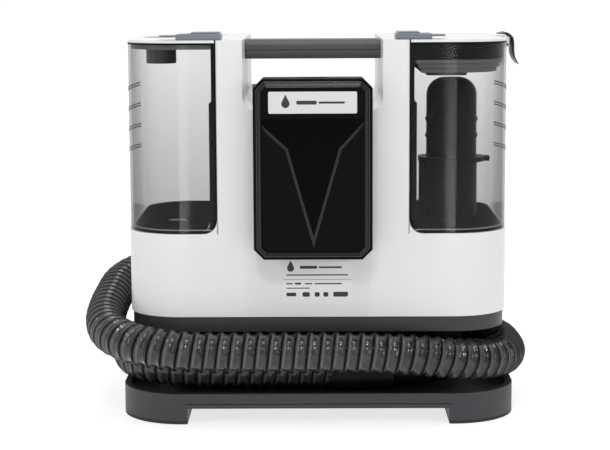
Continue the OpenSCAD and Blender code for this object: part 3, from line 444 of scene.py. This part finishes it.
def make_hose():
    """Tube round the route whose radius is full on one helical rib and falls to
    the wall between turns of it: radius = outer - depth (1 - crown), with crown
    = (half plus half cosine of the phase) to a power, and phase = length along
    the hose over the rib pitch, less the angle round it over a full turn."""
    outer, depth, pitch, around = 17.0, 2.5, 10.3, 40
    line, at = smooth_route(ROUTE, np.array([-1, 0, 0.0]),
                            np.array([1, 0, 1.0]) / math.sqrt(2), pitch / 16)
    tangent = np.gradient(line, axis=0)
    tangent /= np.linalg.norm(tangent, axis=1)[:, None]
    across = np.cross(tangent, [0, 0, 1.0])
    across /= np.linalg.norm(across, axis=1)[:, None]
    upward = np.cross(across, tangent)
    angle = np.linspace(0, 2 * np.pi, around, endpoint=False)[None, :]
    phase = at[:, None] / pitch - angle / (2 * np.pi)
    crown = (0.5 + 0.5 * np.cos(2 * np.pi * phase)) ** 1.7
    fade = np.clip(np.minimum(at, at[-1] - at) / 6, 0, 1)[:, None]
    radius = outer - depth * (1 - crown * fade)
    verts = (line[:, None] + radius[..., None] * (np.cos(angle)[..., None] * across[:, None]
             + np.sin(angle)[..., None] * upward[:, None])).reshape(-1, 3)
    ob = piece("hose_corrugated", verts, skin_faces(len(line), around), "hose_plastic",
               "machine", ("hose",), sharp=80)
    rib = ob.data.attributes.new("rib", "FLOAT", "POINT")
    rib.data.foreach_set("value", crown.reshape(-1).astype(np.float32))
    # painted highlight: a narrow band on one side of each rib, where the material paints
    # the wall lighter
    highlight_band = (0.5 + 0.5 * np.cos(2 * np.pi * (phase + 0.22))) ** 10
    painted_rib_highlight = ob.data.attributes.new("painted_rib_highlight", "FLOAT", "POINT")
    painted_rib_highlight.data.foreach_set("value", highlight_band.reshape(-1).astype(np.float32))
    # partly painted shade: the collars are dark, and take the black plastic instead of
    # their own finish so that they also read as the shade under the hose
    collars = nodes["hose_collars"]
    collars.data.materials.clear()
    collars.data.materials.append(FINISH["black_plastic"])


make_hose()


# ---------------------------------------------------------------- rounded CAD nodes
EDGES = {
    "plinth": 2.0, "foot_soles": 0.8, "underside_cover": 0, "case_screws": 0,
    "hose_drum": 0.8, "base_ring": 0.8, "rear_housing": 0.6, "front_housing": 0.6,
    "clean_seat": 0.5, "dirty_seat": 0.5, "handle_bar": 0.8, "handle_underside": 0.6,
    "battery_dock": 0.6, "dock_terminals": 0, "exhaust_grille": 0.5,
    "control_panel": 0.8, "charge_lights": 0.3, "circuit_board": 0.2,
    "tool_cradle": 0.8, "inlet_elbow": 0.6, "motor_bracket": 0.8, "fan_housing": 0.8,
    "motor_can": 1.0, "air_duct": 0.8, "pump": 1.0, "tool_body": 1.4,
    "tool_window": 0.5, "spray_tip": 0.6, "tool_cuff": 0, "trigger_pin": 0,
    "clean_tank_shell": 0.5, "clean_lid": 0.9, "clean_lid_insert": 0.6,
    "fill_cap": 0.8, "outlet_valve": 0.3,
    "dirty_tank_shell": 0.5, "riser_column": 0.4, "separator": 0.6,
    "dirty_lid": 0.9, "dirty_lid_insert": 0.6, "filter_seal": 0.8,
    "float_cage": 0.5, "clip_pin": 0, "float_valve": 0.4,
    "battery_case": 0.6, "battery_cells": 0.4, "battery_release": 0.8,
    "power_button": 0.8, "spray_button": 0.8, "trigger": 1.0, "impeller": 0.3,
    "motor_shaft": 0.4, "clean_latch": 0.6, "dirty_latch": 0.6,
}
OTHER_FINISH = {"clean_lid_insert": "insert_plastic"}
# on the housings only edges that turn by more than this are rounded, in degrees
HOUSING_HOLD = 62
for node, edge in EDGES.items():
    eased(node, edge, finish=OTHER_FINISH.get(node),
          hold=HOUSING_HOLD if "housing" in node else 40)


def corners(node):
    """Lowest and highest corner of a node, in millimetres."""
    return [np.array(v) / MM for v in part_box(node)]


# ---------------------------------------------------------------- battery
def battery_cover():
    """Octagon rings stepped in from the back edge to the front, a flat rim, a
    sloped band up to the front face, and a floor sunk below it on both sides of
    a V panel. The V's flanks are the floor's outline moved out by 2.3 mm."""
    lo, hi = corners("battery_cover")
    x0, z0 = (lo[0] + hi[0]) / 2, (lo[2] + hi[2]) / 2
    w, h, c = (hi[0] - lo[0]) / 2, (hi[2] - lo[2]) / 2, 8.0
    outer = np.array([[c - w, -h], [w - c, -h], [w, c - h], [w, h - c], [w - c, h],
                      [c - w, h], [-w, h - c], [-w, c - h]]) + [x0, z0]
    back, front = hi[1], lo[1]
    steps = [(0, back), (0, front + 4.6), (0.25, front + 3.9), (0.9, front + 3.4),
             (2.6, front + 3.2), (2.95, front + 3.0), (3.7, front + 2.5),
             (6.0, front + 0.5), (6.5, front + 0.1), (6.9, front)]
    loops = [inset(outer, d) for d, _ in steps]
    verts = turned(loops, [y for _, y in steps], "y").tolist()
    faces = skin_faces(len(steps), 8, ends=False)
    faces.append(list(range(8)))
    rim = (len(steps) - 1) * 8
    floor_rim = inset(outer, 7.5)
    left, right = min(floor_rim[:, 0]), max(floor_rim[:, 0])
    knee_l, knee_r, tip = (-25.4, 226.7), (19.1, 226.9), (-3.2, 149.1)
    top_l = (left, knee_l[1] + (knee_l[0] - left) * 0.915)
    top_r = (right, knee_r[1] + (right - knee_r[0]) * 1.085)
    # floor outline, anticlockwise from the lower left chamfer
    floor = np.array([floor_rim[7], floor_rim[0], floor_rim[1], floor_rim[2], top_r,
                      knee_r, tip, knee_l, top_l])
    out = [0.6, 0.6, 0.6, 0.6, 2.3, 2.3, 2.3, 2.3, 0.6]
    crest = inset(floor, [-d for d in out])
    sunk = front + 1.6
    base = len(verts)
    verts += [[x, front, z] for x, z in crest] + [[x, sunk, z] for x, z in floor]
    n = len(floor)
    # the panel is polished up to a straight edge under the label
    edge_z = 251.5
    edge_l, edge_r = base + 2 * n, base + 2 * n + 1
    verts += [[verts[rim + 6][0], front, edge_z], [verts[rim + 3][0], front, edge_z]]
    flanks = len(faces)
    faces += [[base + i, base + (i + 1) % n, base + n + (i + 1) % n, base + n + i]
              for i in range(n)]
    faces.append([base + n + i for i in range(n)])
    polished = len(faces)
    faces.append([edge_r, edge_l, base + 8, base + 7, base + 6, base + 5, base + 4])
    faces += [[rim + 3, rim + 4, rim + 5, rim + 6, edge_l, edge_r],
              [rim + 7, rim + 0, base + 1, base + 0],
              [rim + 0, rim + 1, base + 2, base + 1],
              [rim + 1, rim + 2, base + 3, base + 2],
              [rim + 2, edge_r, base + 4, base + 3],
              [edge_l, rim + 7, base + 0, base + 8]]
    ob = piece("battery_cover_front", verts, faces, "battery_plastic", "battery_pack",
               ("battery_cover",), sharp=12)
    for finish in ("battery_polish", "battery_painted_sheen", "battery_painted_highlight"):
        ob.data.materials.append(FINISH[finish])
    # rings 4 and 8 are fine arrises with a painted highlight, ring 6 the sloped band with a
    #     # painted sheen; flanks 3 to 7 of the floor are the V's, with the same painted
    #     sheen
    polish, edge, line = 1, 2, 3
    sides = 8
    at = np.zeros(len(faces), int)
    at[4 * sides:5 * sides] = line
    at[6 * sides:7 * sides] = edge
    at[8 * sides + 4] = line
    at[flanks + 3:flanks + 8] = edge
    at[polished] = polish
    ob.data.polygons.foreach_set("material_index", at)
    soften = ob.modifiers.new("edges", "BEVEL")
    soften.width, soften.segments = 0.3 * MM, 2
    soften.limit_method, soften.angle_limit = "ANGLE", math.radians(14)


battery_cover()


def printed(name, loop, y, body):
    """A mark of ink 0.1 mm thick on a label's film."""
    bar(name, loop, y, y + 0.1, "y", "label_ink", body, edge=0.02, slot="label_film")


def emblem(name, x, z, size, y, body):
    """A plain water drop: circle below, straight sides meeting at the top."""
    a = np.linspace(math.radians(150), math.radians(390), 25)
    ring = np.stack([np.cos(a), np.sin(a)], 1) * size * 0.36
    drop = np.vstack([ring, [[0, size * 0.8]]]) + [x, z - size * 0.1]
    printed(name, drop, y, body)


def label_mark(name, x0, x1, z0, z1, y, body):
    """A bar with rounded ends, in place of a line of print."""
    printed(name, box_loop(x0, x1, z0, z1, (z1 - z0) * 0.3, 4), y, body)


def battery_label():
    """White film with a drop and two bars, in place of any lettering."""
    lo, hi = corners("battery_label")
    face = corners("battery_cover")[0][1]
    film = box_loop(lo[0], hi[0], lo[2], hi[2], 1.2)
    bar("battery_label_film", film, face - 0.25, face + 0.3, "y", "label_film",
        "battery_pack", edge=0.08, stands_for=("battery_label",))
    mid = (lo[2] + hi[2]) / 2
    y = face - 0.33
    emblem("battery_label_drop", lo[0] + 13.5, mid, 9, y, "battery_pack")
    label_mark("battery_label_bar", lo[0] + 22, lo[0] + 38, mid - 1.5, mid + 1.5, y,
               "battery_pack")
    label_mark("battery_label_line", lo[0] + 39.5, lo[0] + 60, mid - 0.8, mid + 0.8, y,
               "battery_pack")


battery_label()


def rating_plate():
    """Blank rating plate: a drop, a rule and short bars in place of print."""
    lo, hi = corners("rating_plate")
    bar("rating_plate_film", box_loop(lo[0], hi[0], lo[2], hi[2], 1.0), lo[1] + 0.15,
        hi[1] + 0.2, "y", "plate_film", "machine", edge=0.08,
        stands_for=("rating_plate",), slot="label_film")
    y = lo[1] + 0.07
    x, z = lo[0], lo[2]
    emblem("rating_plate_drop", x + 7.5, z + 31.5, 8, y, "machine")
    marks = [(15, 29, 30.2, 32.6), (30.4, 49, 30.7, 32.1), (4, 54, 24.6, 25.6),
             (1, 57, 21.3, 21.6), (4, 9, 17.4, 18.4), (11, 16, 17.2, 18.8),
             (19, 25, 17.4, 18.4), (27, 49, 17.4, 18.4), (4, 23, 13.9, 14.7),
             (4, 12, 7.6, 10.6), (17, 23, 7.2, 11.0), (27, 31, 7.2, 11.0),
             (34, 38, 7.2, 11.0), (42, 54, 7.2, 11.2)]
    for i, (x0, x1, z0, z1) in enumerate(marks):
        label_mark(f"rating_plate_mark_{i:02d}", x + x0, x + x1, z + z0, z + z1, y,
                   "machine")


rating_plate()


# ---------------------------------------------------------------- side clip
def side_clip():
    """A strip swept along a smooth line from the lid's edge, over the corner and
    down the tank's side; its half thickness tapers towards both ends."""
    lo, hi = corners("side_clip")
    px, pz = 160.5, 305.0       # centre of the clip's pin
    around = 24
    line, at = smooth_route(np.array([
        [px - 6.6, 0, pz + 8.7], [px - 0.4, 0, pz + 9.2], [px + 4.0, 0, pz + 6.0],
        [px + 5.3, 0, pz + 1.5], [px + 5.7, 0, pz - 7.0], [px + 7.3, 0, pz - 12.4],
        [px + 10.1, 0, pz - 16.6]]), np.array([1, 0, 0.1]), np.array([0.5, 0, -0.8]), 0.7)
    t = np.gradient(line, axis=0)
    t /= np.linalg.norm(t, axis=1)[:, None]
    off = np.stack([t[:, 2], 0 * at, -t[:, 0]], 1)
    u = at / at[-1]
    half = np.interp(u, [0, 0.12, 0.35, 0.75, 1.0], [0.35, 1.0, 1.25, 1.0, 0.3])
    width = hi[1] - lo[1]
    a = np.linspace(0, 2 * np.pi, around, endpoint=False)
    # section: rounded bar, its corners a power of the circle
    s, c = np.sin(a), np.cos(a)
    across = np.sign(c) * np.abs(c) ** 0.25 * width / 2
    thick = np.sign(s) * np.abs(s) ** 0.7
    verts = line[:, None] + off[:, None] * (half[:, None] * thick)[..., None]
    verts[..., 1] += across[None, :]
    piece("side_clip_strip", verts.reshape(-1, 3), skin_faces(len(line), around),
          "dark_plastic", "side_clip", ("side_clip",))
    knuckle = np.stack([np.cos(a), np.sin(a)], 1) * 2.2 + [px, pz]
    bar("side_clip_knuckle", knuckle, lo[1], hi[1], "y", "dark_plastic", "side_clip",
        edge=0.4)
    bar("side_clip_web", box_loop(px, px + 5.0, pz - 1.1, pz + 1.1, 0.4, 4), lo[1] + 1,
        hi[1] - 1, "y", "dark_plastic", "side_clip", edge=0.3)


side_clip()


# ---------------------------------------------------------------- plinth shadow line
def plinth_shadow_line():
    """Painted shadow line along the plinth's lower edge between the feet, front and back.
    """
    lo, hi = corners("plinth")
    for name, face, out in (("front", lo[1], -1), ("back", hi[1], 1)):
        y0, y1 = sorted((face + out * 0.05, face - out * 0.6))
        bar("plinth_shadow_line_" + name, box_loop(-108, 108, 16.6, 17.2), y0, y1, "y",
            "black_plastic", "machine", edge=0.02, slot="plinth_plastic")


plinth_shadow_line()


# ---------------------------------------------------------------- tank trim
TANK_CORNER = 44.5      # radius of a tank's outer corners in plan
FLOOR_Z = 158.5         # underside of the black floors


def tank_outline(lo, hi, side):
    """Plan outline of a tank: wide outer corners, nearly square inner ones."""
    wide, tight = TANK_CORNER, 1.5
    radii = [wide, tight, tight, wide] if side < 0 else [tight, wide, wide, tight]
    return arcs([(lo[0], lo[1]), (hi[0], lo[1]), (hi[0], hi[1]), (lo[0], hi[1])],
                radii, 14)


def dense(loop, step):
    """Outline with points added so that no side is longer than step."""
    return np.concatenate([
        np.linspace(a, b, math.ceil(np.linalg.norm(b - a) / step + 1e-6), endpoint=False)
        for a, b in zip(loop, np.roll(loop, -1, axis=0))])


def ring_plate(name, outer, inner, z0, z1, finish, body):
    """Flat plate from z0 to z1 between two outlines of as many points."""
    rings = np.concatenate([turned([outer], [z0], "z"), turned([outer], [z1], "z"),
                            turned([inner], [z1], "z"), turned([inner], [z0], "z"),
                            turned([outer], [z0], "z")])
    piece(name, rings, skin_faces(5, len(outer), ends=False), finish, body,
          slot="seat_rubber")


def tank_trim(side, body, shell, drain, clear):
    """Black pieces on each tank: a band under the lid with a square section, the
    wall against the spine, a guide on that wall and the floor, which has a hole of
    radius clear round drain."""
    lo, hi = corners(shell)
    loop = tank_outline(lo, hi, side)
    z0 = hi[2] - 1.3
    ring_plate(body + "_rim_band", inset(loop, -0.2), inset(loop, 2.3), z0, hi[2] + 0.2,
               "black_plastic", body)
    wall = hi[0] if side < 0 else lo[0]
    x0, x1 = sorted((wall + side * 0.15, wall + side * 2.8))
    bar(body + "_spine_wall", box_loop(x0, x1, lo[2] + 14, z0 + 0.4, 0.8, 4), lo[1] + 0.15,
        hi[1] - 0.15, "y", "black_plastic", body, edge=0.5, slot="seat_rubber")
    g0, g1 = sorted((wall + side * 2.7, wall + side * 5.0))
    bar(body + "_guide", box_loop(g0, g1, 160, 262, 1.0, 4), lo[1] + 2.2, hi[1] - 2.2, "y",
        "black_plastic", body, edge=0.8, slot="seat_rubber")
    # floor: a bright ring where its upturned rim catches the light, then black
    # round a hole that clears the tank's fitting
    ring_plate(body + "_floor_rim", inset(loop, 2.2), inset(loop, 3.5), FLOOR_Z,
               FLOOR_Z + 0.8, "tank_floor_rim_highlight", body)
    edge = dense(inset(loop, 3.4), 4.0)
    away = edge - drain
    hole = drain + clear * away / np.linalg.norm(away, axis=1)[:, None]
    ring_plate(body + "_floor", edge, hole, FLOOR_Z, FLOOR_Z + 0.5, "seat_rubber", body)


def graduation_marks(side, body, shell):
    """Pairs of slanted ribs on the front outer corner: each follows the corner's
    circle while it rises, as a strip 0.9 mm wide and 0.25 mm proud."""
    lo, hi = corners(shell)
    r = TANK_CORNER
    cx = lo[0] + r if side < 0 else hi[0] - r
    cy = lo[1] + r
    top, between, twin_gap, rise = 272.0, 16.6, 2.0, 6.2
    u = np.linspace(0, 1, 9)
    turn = np.radians(np.interp(u, [0, 1], [86, 46]))
    for step in range(4):
        for twin in range(2):
            z = top - between * step - twin_gap * twin + rise * u
            rings = []
            for proud, dz in ((-0.4, -0.5), (0.25, -0.45), (0.25, 0.45), (-0.4, 0.5)):
                rings.append(np.stack([cx + side * (r + proud) * np.sin(turn),
                                       cy - (r + proud) * np.cos(turn), z + dz], 1))
            verts = np.stack(rings, 1).reshape(-1, 3)
            piece(f"{body}_mark_{step}_{twin}", verts, skin_faces(len(u), 4),
                  "mark_plastic", body, slot="seat_rubber")


def clean_tank_rail():
    """Dark stop across the back of the clean tank, right of the fill cap."""
    hi = corners("clean_tank_shell")[1]
    bar("clean_tank_rail", box_loop(-122, hi[0] - 3.9, 299.2, 303.4, 0.8, 4), hi[1] - 6.0,
        hi[1] - 2.4, "y", "black_plastic", "clean_tank", edge=0.5, slot="seat_rubber")


clean_tank_rail()
for side, body, shell, fitting in ((-1, "clean_tank", "clean_tank_shell", "outlet_valve"),
                                   (1, "dirty_tank", "dirty_tank_shell", "riser_column")):
    near, far = corners(fitting)
    tank_trim(side, body, shell, (near + far)[:2] / 2, (far[1] - near[1]) / 2 + 0.8)
    graduation_marks(side, body, shell)


# ---------------------------------------------------------------- floor and light
# rectangular lamps: place in metres, width and height in metres, power in watts
LAMPS = {
    "key": ((0.0, -2.2, 1.7), (1.4, 0.5), 7),
    "overhead": ((0.0, -0.3, 1.5), (0.9, 0.35), 5),
    "left": ((-1.6, -0.9, 0.8), (0.14, 1.1), 4.5),
    "right": ((1.6, -0.9, 0.8), (0.14, 1.1), 4.5),
    "spark": ((-0.15, -1.15, 1.1), (0.06, 0.06), 2.4),
    "spark_high": ((0.1, -0.7, 1.4), (0.06, 0.06), 2.4),
    "strip_left": ((-0.166, -0.6, 0.19), (0.026, 0.24), 0.1),
    "strip_right": ((0.166, -0.6, 0.19), (0.026, 0.24), 0.1),
}
AIM = Vector((0, 0, 0.15))
FLOOR_REACH = 30        # metres from the middle to each side of the floor


def studio():
    """White acrylic table lit from beneath, a white backdrop, softboxes, two small
    bare lamps that put points of light on polished ribs, and two thin strips that
    draw a line of light down each tank."""
    sweep = bpy.data.meshes.new("floor")
    r = FLOOR_REACH
    sweep.from_pydata([(-r, -r, 0), (r, -r, 0), (r, r, 0), (-r, r, 0)], [], [(0, 1, 2, 3)])
    ob = bpy.data.objects.new("floor", sweep)
    bpy.context.scene.collection.objects.link(ob)
    m, t, out, _ = surface("acrylic_table")
    skin = add(t, "ShaderNodeBsdfPrincipled", {"Base Color": srgb("#A6A6A6"),
               "Roughness": 0.7, "Emission Color": (1, 1, 1, 1),
               "Emission Strength": 0.74})
    t.links.new(skin.outputs[0], out.inputs["Surface"])
    sweep.materials.append(m)
    # a white backdrop that falls off towards the viewer, so the front is lit by
    # the key light and black faces have something dark to mirror
    world = bpy.data.worlds.new("studio")
    world.use_nodes = True
    w = world.node_tree
    back = w.nodes["Background"]
    back.inputs["Color"].default_value = (1, 1, 1, 1)
    way = add(w, "ShaderNodeTexCoord")
    axis = add(w, "ShaderNodeSeparateXYZ", Vector=(way, "Generated"))
    level = add(w, "ShaderNodeMapRange", {"From Min": -0.45, "From Max": 0.75,
                "To Min": 0.34, "To Max": 1.08}, Value=(axis, "Y"))
    w.links.new(level.outputs["Result"], back.inputs["Strength"])
    bpy.context.scene.world = world
    for name, (place, size, power) in LAMPS.items():
        lamp = bpy.data.lights.new(name, "AREA")
        lamp.shape, lamp.size, lamp.size_y, lamp.energy = "RECTANGLE", *size, power
        ob = bpy.data.objects.new(name, lamp)
        bpy.context.scene.collection.objects.link(ob)
        ob.location = place
        ob.rotation_euler = (AIM - Vector(place)).to_track_quat("-Z", "Y").to_euler()
    bpy.context.scene.view_settings.view_transform = "Standard"


studio()
